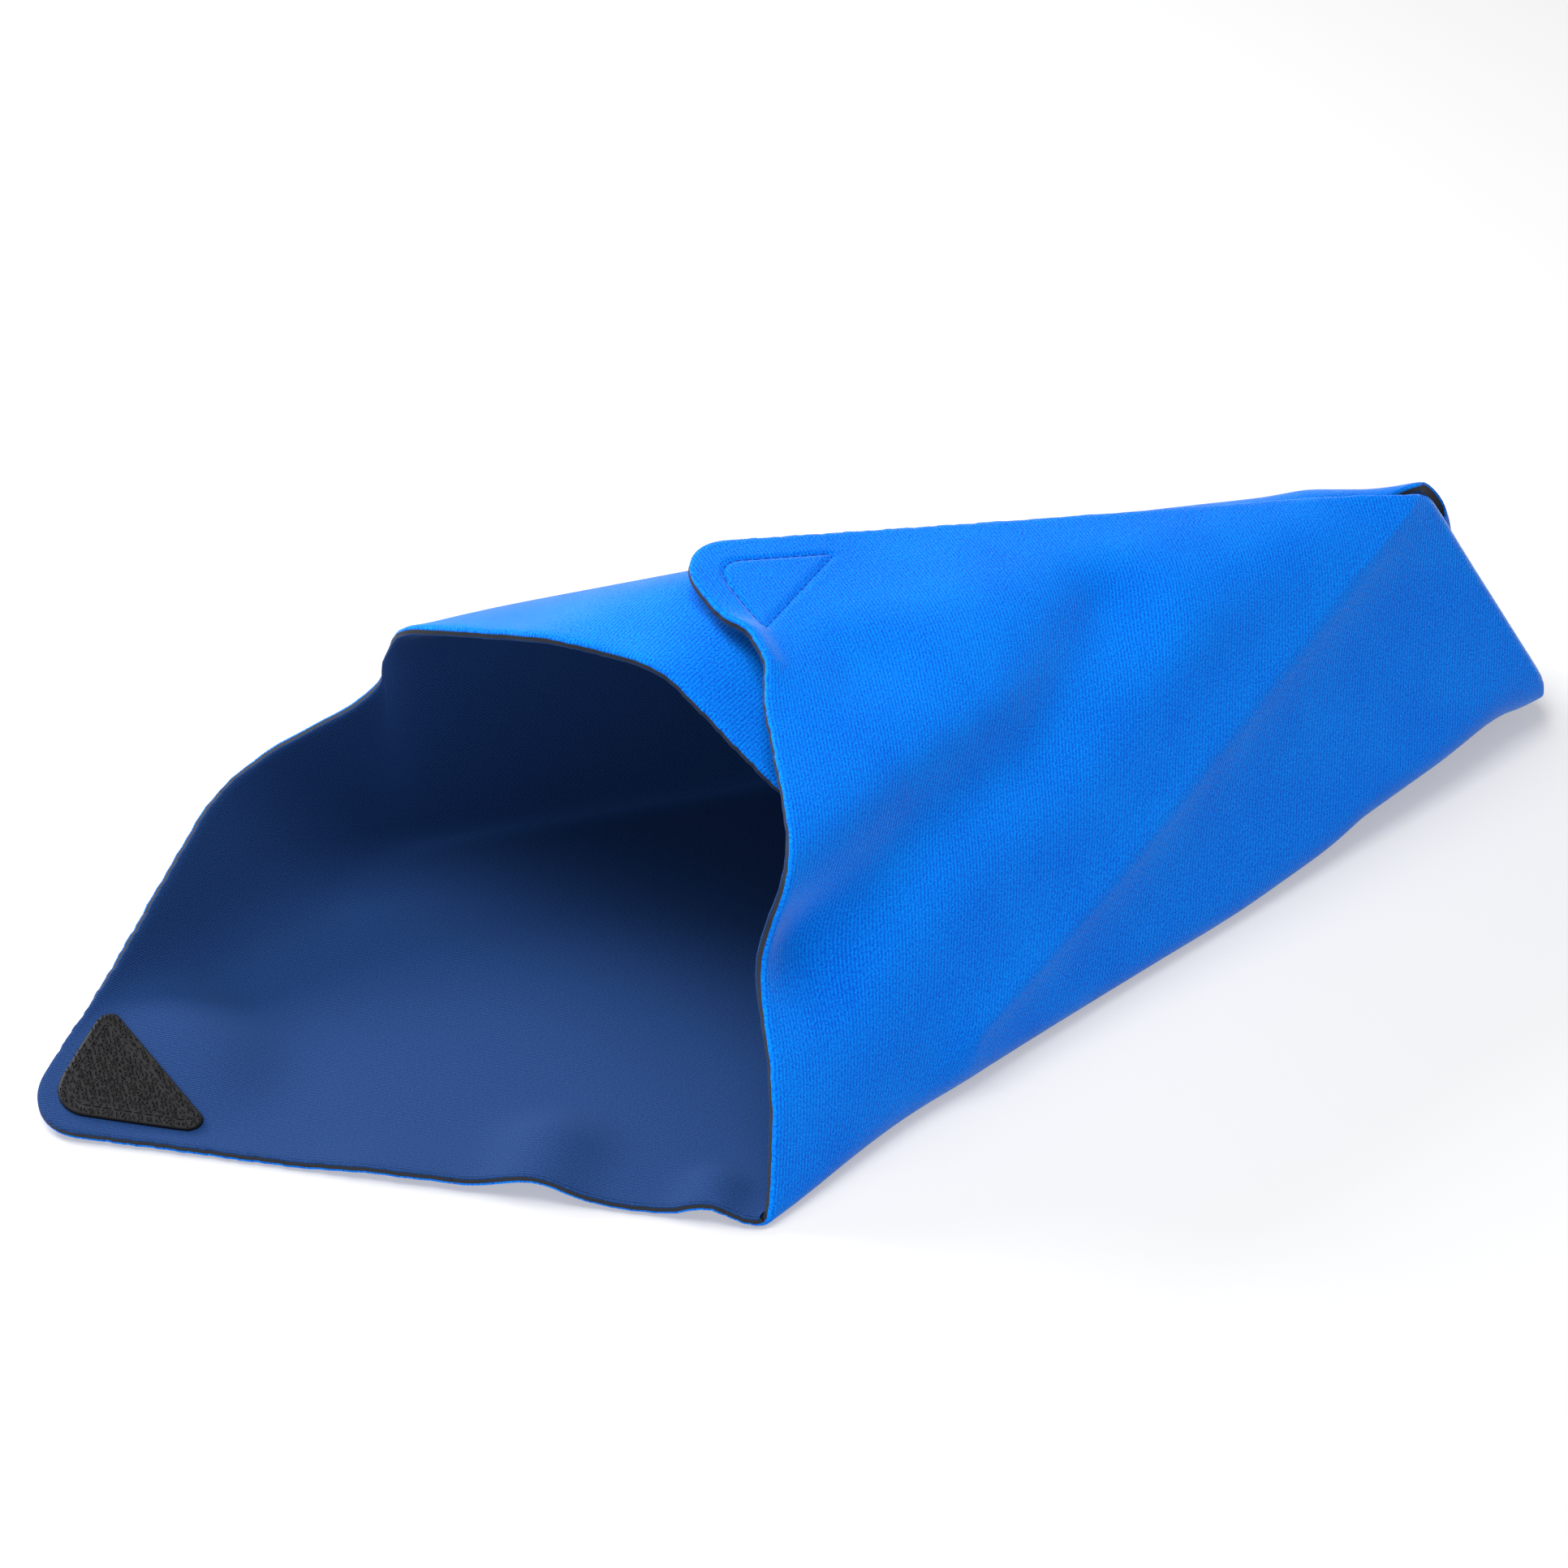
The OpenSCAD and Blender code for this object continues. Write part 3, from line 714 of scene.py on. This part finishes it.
def cloth_piece(name, chosen):
    used, faces = np.unique(quads[chosen], return_inverse=True)
    faces, n = faces.reshape(-1, 4), len(used)
    border = border_edges(faces)
    rim = np.unique(border)
    on_rim = np.zeros(n, int)
    on_rim[rim] = np.arange(len(rim))
    a, b = border[:, 0], border[:, 1]
    levels = [(a, b)]
    points, flat = [outer[used], inner[used]], [unfolded[used]] * 2
    for k, (share, _) in enumerate(BANDS[:2]):
        points.append(mix(outer[used[rim]], inner[used[rim]], share))
        flat.append(unfolded[used[rim]])
        levels.append((2 * n + k * len(rim) + on_rim[a], 2 * n + k * len(rim) + on_rim[b]))
    levels.append((n + a, n + b))
    all_faces, slots = [faces, faces[:, ::-1] + n], [np.zeros(len(faces), int), np.ones(len(faces), int)]
    for (top, low), (_, slot) in zip(zip(levels, levels[1:]), BANDS):
        all_faces.append(np.stack([top[1], top[0], low[0], low[1]], 1))
        slots.append(np.full(len(border), slot))
    o = link_mesh(
        name, np.concatenate(points), np.concatenate(all_faces), (pile, lining, foam), np.concatenate(slots)
    )
    creased = {tuple(sorted(e)) for pair in (levels[0], levels[3]) for e in np.stack(pair, 1).tolist()}
    for edge in o.data.edges:
        edge.use_edge_sharp = tuple(sorted(edge.vertices)) in creased
    corner = np.zeros(len(o.data.loops), int)
    o.data.loops.foreach_get("vertex_index", corner)
    o.data.uv_layers.new(name="flat").data.foreach_set("uv", (np.concatenate(flat)[corner] * MM).ravel())
    cut = unfolded[quads[chosen]]
    d1, d2 = cut[:, 2] - cut[:, 0], cut[:, 3] - cut[:, 1]
    area = np.abs(d1[:, 0] * d2[:, 1] - d1[:, 1] * d2[:, 0]).sum() / 2
    size = np.ptp(cut.reshape(-1, 2), axis=0)
    print(name, len(o.data.vertices), "points, cut from", size.round(), "mm, about", round(area / 100), "square cm")
    return o, tuple((size * MM).tolist()), float(area * MM * MM)


cut_rows = [int(np.argmin(abs(closing_steps * flap_len - c))) for c in CUTS]
in_closing = owner == "closing"
chosen = {
    "pocket_cloth": np.isin(owner, ["floor", "gore", "wall", "rear"]),
    "front_flap_cloth": owner == "front",
    "closing_cloth_base": in_closing & (row_of < cut_rows[0]),
    "closing_cloth_middle": in_closing & (row_of >= cut_rows[0]) & (row_of < cut_rows[1]),
    "closing_cloth_tip": in_closing & (row_of >= cut_rows[1]),
}
cloth, cut_size, cut_area = {}, {}, {}
for name, pick in chosen.items():
    cloth[name], cut_size[name], cut_area[name] = cloth_piece(name, pick)

# %% [markdown]
# ## 8. Hook patches and thread
#
# A patch is a thin plate on the lining, full of small bent hooks. The thread goes through plate and
# cloth: black stitches lie on the plate, blue ones in the groove of the pile.

# %%
HOOK_PITCH, HOOK_H, HOOK_REACH, HOOK_R = (1.5, 1.15), 0.9, 0.95, 0.17
HOOK_STRAY, HOOK_SUNK, HOOK_INSET, HOOK_CLEAR = 0.25, 0.15, 0.7, 0.75
HOOK_ARCH = ((0.0, 0.0), (0.05, 0.55), (0.3, 0.95), (0.7, 1.0), (0.95, 0.6))
PLATE_STEP, PLATE_RINGS, PLATE_BEVEL, PLATE_SUNK = 1.5, 9, 0.35, 0.05
STITCH, STITCH_GAP, STITCH_STEP, THREAD_R = 2.6, 0.9, 0.25, 0.28
rng = np.random.default_rng(7)


def cloth_frame(places):
    """The outer point, the inward normal and the flat directions' ways in space."""
    o, n, along = surface(places)
    return o, n, along, np.cross(n, along)


def tube(path, radius, sides=5):
    """Points and faces of a round rod along a path, closed by a point at each end."""
    ways = unit(np.gradient(path, axis=0))
    side = unit(np.cross(ways, ways[:1] * 0 + vec(0.31, 0.52, 0.79)))
    over = np.cross(ways, side)
    turn = np.arange(sides) * 2 * math.pi / sides
    cos, sin = np.cos(turn)[None, :, None], np.sin(turn)[None, :, None]
    rings = path[:, None] + radius * (side[:, None] * cos + over[:, None] * sin)
    tips = [path[:1] - ways[:1] * radius * 0.6, path[-1:] + ways[-1:] * radius * 0.6]
    points = np.concatenate([rings.reshape(-1, 3), *tips])
    faces, last = [], len(path) * sides
    for i in range(len(path) - 1):
        for k in range(sides):
            j = (k + 1) % sides
            faces.append((i * sides + k, i * sides + j, (i + 1) * sides + j, (i + 1) * sides + k))
    for k in range(sides):
        j = (k + 1) % sides
        faces += [(last, j, k), (last + 1, last - sides + k, last - sides + j)]
    return points, faces


def joined(parts):
    points, faces, first = [], [], 0
    for p, f in parts:
        points.append(p)
        faces += [tuple(first + i for i in face) for face in f]
        first += len(p)
    return np.concatenate(points), faces


def plate(corner):
    """The patch's plate, in rings from its outline to its middle."""
    outline = resampled(inset_outline(0), PLATE_STEP)
    middle, n = outline.mean(0), len(outline)
    shares = [1.0, 1.0, 0.985] + list(np.linspace(0.94, 0.05, PLATE_RINGS))
    heights = [0.0, PATCH_T - PLATE_BEVEL, PATCH_T] + [PATCH_T] * PLATE_RINGS
    local = np.concatenate([mix(middle, outline, s) for s in shares])
    o, inward, _, _ = cloth_frame(on_cloth(corner, local))
    points = o + inward * (SHEET_T - PLATE_SUNK + np.repeat(heights, n))[:, None]
    faces = []
    for r in range(len(shares) - 1):
        for k in range(n):
            j = (k + 1) % n
            faces.append((r * n + k, r * n + j, (r + 1) * n + j, (r + 1) * n + k))
    faces += [tuple(range((len(shares) - 1) * n, len(shares) * n)), tuple(range(n - 1, -1, -1))]
    return points, faces


def hooks(corner):
    """Small hooks in rows that lie across the long leg, each bent over at the top."""
    keep_in = inset_outline(HOOK_INSET)
    around = np.roll(keep_in, -1, 0) - keep_in
    local = []
    for i in range(int(PATCH_LONG / HOOK_PITCH[0])):
        for k in range(int(PATCH_SHORT / HOOK_PITCH[1])):
            at = vec(i + 0.5 * (k % 2), k) * HOOK_PITCH + PATCH_INSET + rng.uniform(-HOOK_STRAY, HOOK_STRAY, 2)
            to = at - keep_in
            if np.all(around[:, 0] * to[:, 1] - around[:, 1] * to[:, 0] > -1e-9):
                local.append(at)
    local = np.array(local)
    from_seam = np.linalg.norm(local[:, None] - seam_local[None], axis=2).min(1)
    local = local[from_seam >= HOOK_CLEAR]
    o, inward, along, across = cloth_frame(on_cloth(corner, local))
    lean = rng.uniform(0, 2 * math.pi, len(local))
    way = along * np.cos(lean)[:, None] + across * np.sin(lean)[:, None]
    base = o + inward * (SHEET_T + PATCH_T - HOOK_SUNK)
    parts = []
    for b, w, n in zip(base, way, inward):
        path = np.array([b + w * x * HOOK_REACH + n * y * HOOK_H for x, y in HOOK_ARCH])
        parts.append(tube(path, HOOK_R, 4))
    return joined(parts)


def stitches(corner, depth, lift):
    """Stitches along the seam: each goes in at its ends and lies over the face between them."""
    line = resampled(inset_outline(SEAM_INSET), STITCH_STEP)
    period = round((STITCH + STITCH_GAP) / STITCH_STEP)
    parts = []
    for first in range(0, len(line) - period // 2, period):
        span = line[first : first + round(STITCH / STITCH_STEP) + 1 : 2]
        if len(span) < 4:
            continue
        o, inward, _, _ = cloth_frame(on_cloth(corner, span))
        rise = np.sin(np.linspace(0.12, 0.88, len(span)) * math.pi)
        parts.append(tube(o + inward * (depth + lift * rise)[:, None], THREAD_R, 5))
    return joined(parts)


patch, thread = {}, {}
for corner in CORNERS_STITCHED:
    patch[corner] = link_mesh(corner + "_patch_hooks", *joined([plate(corner), hooks(corner)]), (hook,))
    on_patch = stitches(corner, SHEET_T + PATCH_T - 0.2, 0.35)
    on_pile = stitches(corner, GROOVE_DEPTH + 0.25, -0.4)
    thread[corner, "inside"] = link_mesh(corner + "_patch_thread", *on_patch, (black_thread,))
    thread[corner, "outside"] = link_mesh(corner + "_pile_thread", *on_pile, (blue_thread,))
    print(corner, "patch:", len(patch[corner].data.polygons), "faces")

# %% [markdown]
# ## 9. What moves with what
#
# The hinge lines come from the frame. A table gives, for each piece of the closing flap and for the front flap,
# the two bodies it joins and the stretch along which it would bend; the closing flap's stretches leave a gap
# where one piece meets the next. These pieces stay where they lie, the pocket's cloth is hung on the pocket,
# and the stitched corner goes the way of its cloth.

# %%
joints = {j["name"]: j for j in frame["joints"]}
LAYERS = ("pile", "foam", "lining")


def three(*panels):
    return [f"{p}_{layer}" for p in panels for layer in LAYERS]


fold_at, fold_axis = Vector(joints["closing_fold"]["pos_m"]), Vector(joints["closing_fold"]["axis"])
way_out = Vector((0, 0, 1)).cross(fold_axis).normalized()


def from_mouth(mm):
    return fold_at + way_out * (mm * MM)


# Where the front flap's bend would lie: a short way across its fold, leaning to the outside
FLAP_BEND, FLAP_LEAN = 0.009, 2
flap_at = Vector(joints["front_flap_fold"]["pos_m"])
flap_axis = Vector(joints["front_flap_fold"]["axis"]).normalized()
to_tip = Vector(front_corner * MM) - flap_at
to_tip = (to_tip - flap_axis * to_tip.dot(flap_axis)).normalized()
face_out = flap_axis.cross(to_tip)
if face_out.y > 0:
    face_out.negate()
flap_way = (to_tip + face_out * FLAP_LEAN).normalized()
BENDS = {
    "closing_cloth_base": ("pocket", "closing_base", from_mouth(0), from_mouth(58)),
    "closing_cloth_middle": ("closing_base", "closing_middle", from_mouth(66), from_mouth(98)),
    "closing_cloth_tip": ("closing_middle", "closing_tip", from_mouth(104), from_mouth(132)),
    "front_flap_cloth": ("pocket", "front_flap", flap_at, flap_at + flap_way * FLAP_BEND),
}
STANDS_FOR = {
    "pocket_cloth": three("floor", "front_gore", "back_wall", "rear_flap"),
    "closing_cloth_base": three("closing_base", "back_gusset"),
    "closing_cloth_middle": three("closing_middle"),
    "closing_cloth_tip": three("closing_tip"),
    "front_flap_cloth": three("front_flap"),
}
ON_CLOTH = {"closing_cloth_tip": "closing", "front_flap_cloth": "front"}


def move_with(piece, name):
    if name in BENDS:
        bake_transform(piece)
    else:
        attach(piece, "pocket")


for name, piece in cloth.items():
    move_with(piece, name)
    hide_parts(*STANDS_FOR[name])
    corner = ON_CLOTH.get(name)
    carried = [patch[corner], thread[corner, "inside"], thread[corner, "outside"]] if corner else []
    for part in carried:
        move_with(part, name)
    if corner:
        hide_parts(corner + "_hook_patch")
print("way out of the mouth", [round(x, 3) for x in way_out], "flap bends along", [round(x, 3) for x in flap_way])

# %% [markdown]
# ## 10. Studio
#
# A white table that keeps a faint shadow, soft light from above, from behind and from both front sides,
# and the camera where the photograph was taken from.

# %%
def aim(o, place, target):
    o.location = place
    o.rotation_mode = "QUATERNION"
    o.rotation_quaternion = (Vector(target) - Vector(place)).to_track_quat("-Z", "Y")


def soft_box(name, place, target, size, watts):
    data = bpy.data.lights.new(name, "AREA")
    data.shape = "RECTANGLE"
    data.size, data.size_y = size
    data.energy = watts
    o = bpy.data.objects.new(name, data)
    bpy.context.collection.objects.link(o)
    aim(o, place, target)


def seen_plainly(m):
    """One where a camera, glossy or transmission ray looks, so that reflections show the same white."""
    rays = add(m, "LightPath").outputs
    either = math_node(m, "MAXIMUM", rays["Is Camera Ray"], rays["Is Glossy Ray"])
    return math_node(m, "MAXIMUM", either, rays["Is Transmission Ray"])


FLOOR_HALF, FLOOR_Z = 6, -0.0004
floor_corners = [(x * FLOOR_HALF, y * FLOOR_HALF, FLOOR_Z) for x, y in ((-1, -1), (1, -1), (1, 1), (-1, 1))]
mesh = bpy.data.meshes.new("studio_floor")
mesh.from_pydata(floor_corners, [], [(0, 1, 2, 3)])
floor = bpy.data.objects.new("studio_floor", mesh)
bpy.context.collection.objects.link(floor)
m = material("white_table")
plain = add(m, "BsdfDiffuse", {"Color": colour("#e6e6e8")})
shown = add(m, "AddShader", {
    0: add(m, "BsdfDiffuse", {"Color": colour("#b3b3b3")}).outputs[0],
    1: add(m, "Emission", {"Color": colour("#ffffff"), "Strength": 0.38}).outputs[0],
})
output(m, add(m, "MixShader", {0: seen_plainly(m), 1: plain.outputs[0], 2: shown.outputs[0]}))
mesh.materials.append(m)

world = bpy.data.worlds.new("studio")
bpy.context.scene.world = world
world.use_nodes = True
world.node_tree.nodes.clear()
lit = add(world, "Background", {"Color": (1, 1, 1, 1), "Strength": 0.2})
white = add(world, "Background", {"Color": (1, 1, 1, 1), "Strength": 1.0})
choose = add(world, "MixShader", {0: seen_plainly(world), 1: lit.outputs[0], 2: white.outputs[0]})
add(world, "OutputWorld", {"Surface": choose.outputs[0]})

TARGET = (0.09, 0.0, 0.06)
# Place in metres, size in metres and watts of each soft box
LAMPS = {
    "overhead": ((-0.2, 0.05, 1.6), (1.3, 1.0), 27),
    "front_left": ((-1.3, -1.1, 0.8), (0.9, 0.7), 10),
    "right": ((1.3, -0.9, 0.6), (1.0, 0.8), 4),
    "rim": ((-0.5, 1.2, 0.8), (1.0, 0.5), 26),
}
for name, (place, size, watts) in LAMPS.items():
    soft_box(name, place, TARGET, size, watts)
print("lamps", list(LAMPS))

bpy.context.scene.view_settings.view_transform = "Standard"
VIEW_AZ, VIEW_EL, VIEW_DISTANCE = math.radians(-27), math.radians(32), 1.5
VIEW_TARGET = Vector((0.0782, -0.0002, 0.0743))
PHOTO_WIDTH, PHOTO_FOCAL, SENSOR = 1932, 5595, 36
flat_way = math.cos(VIEW_EL)
way_back = Vector((math.sin(VIEW_AZ) * flat_way, -math.cos(VIEW_AZ) * flat_way, math.sin(VIEW_EL)))
camera = bpy.data.objects.new("camera", bpy.data.cameras.new("camera"))
bpy.context.collection.objects.link(camera)
camera.data.lens = SENSOR * PHOTO_FOCAL / PHOTO_WIDTH
aim(camera, VIEW_TARGET + way_back * VIEW_DISTANCE, VIEW_TARGET)
bpy.context.scene.camera = camera
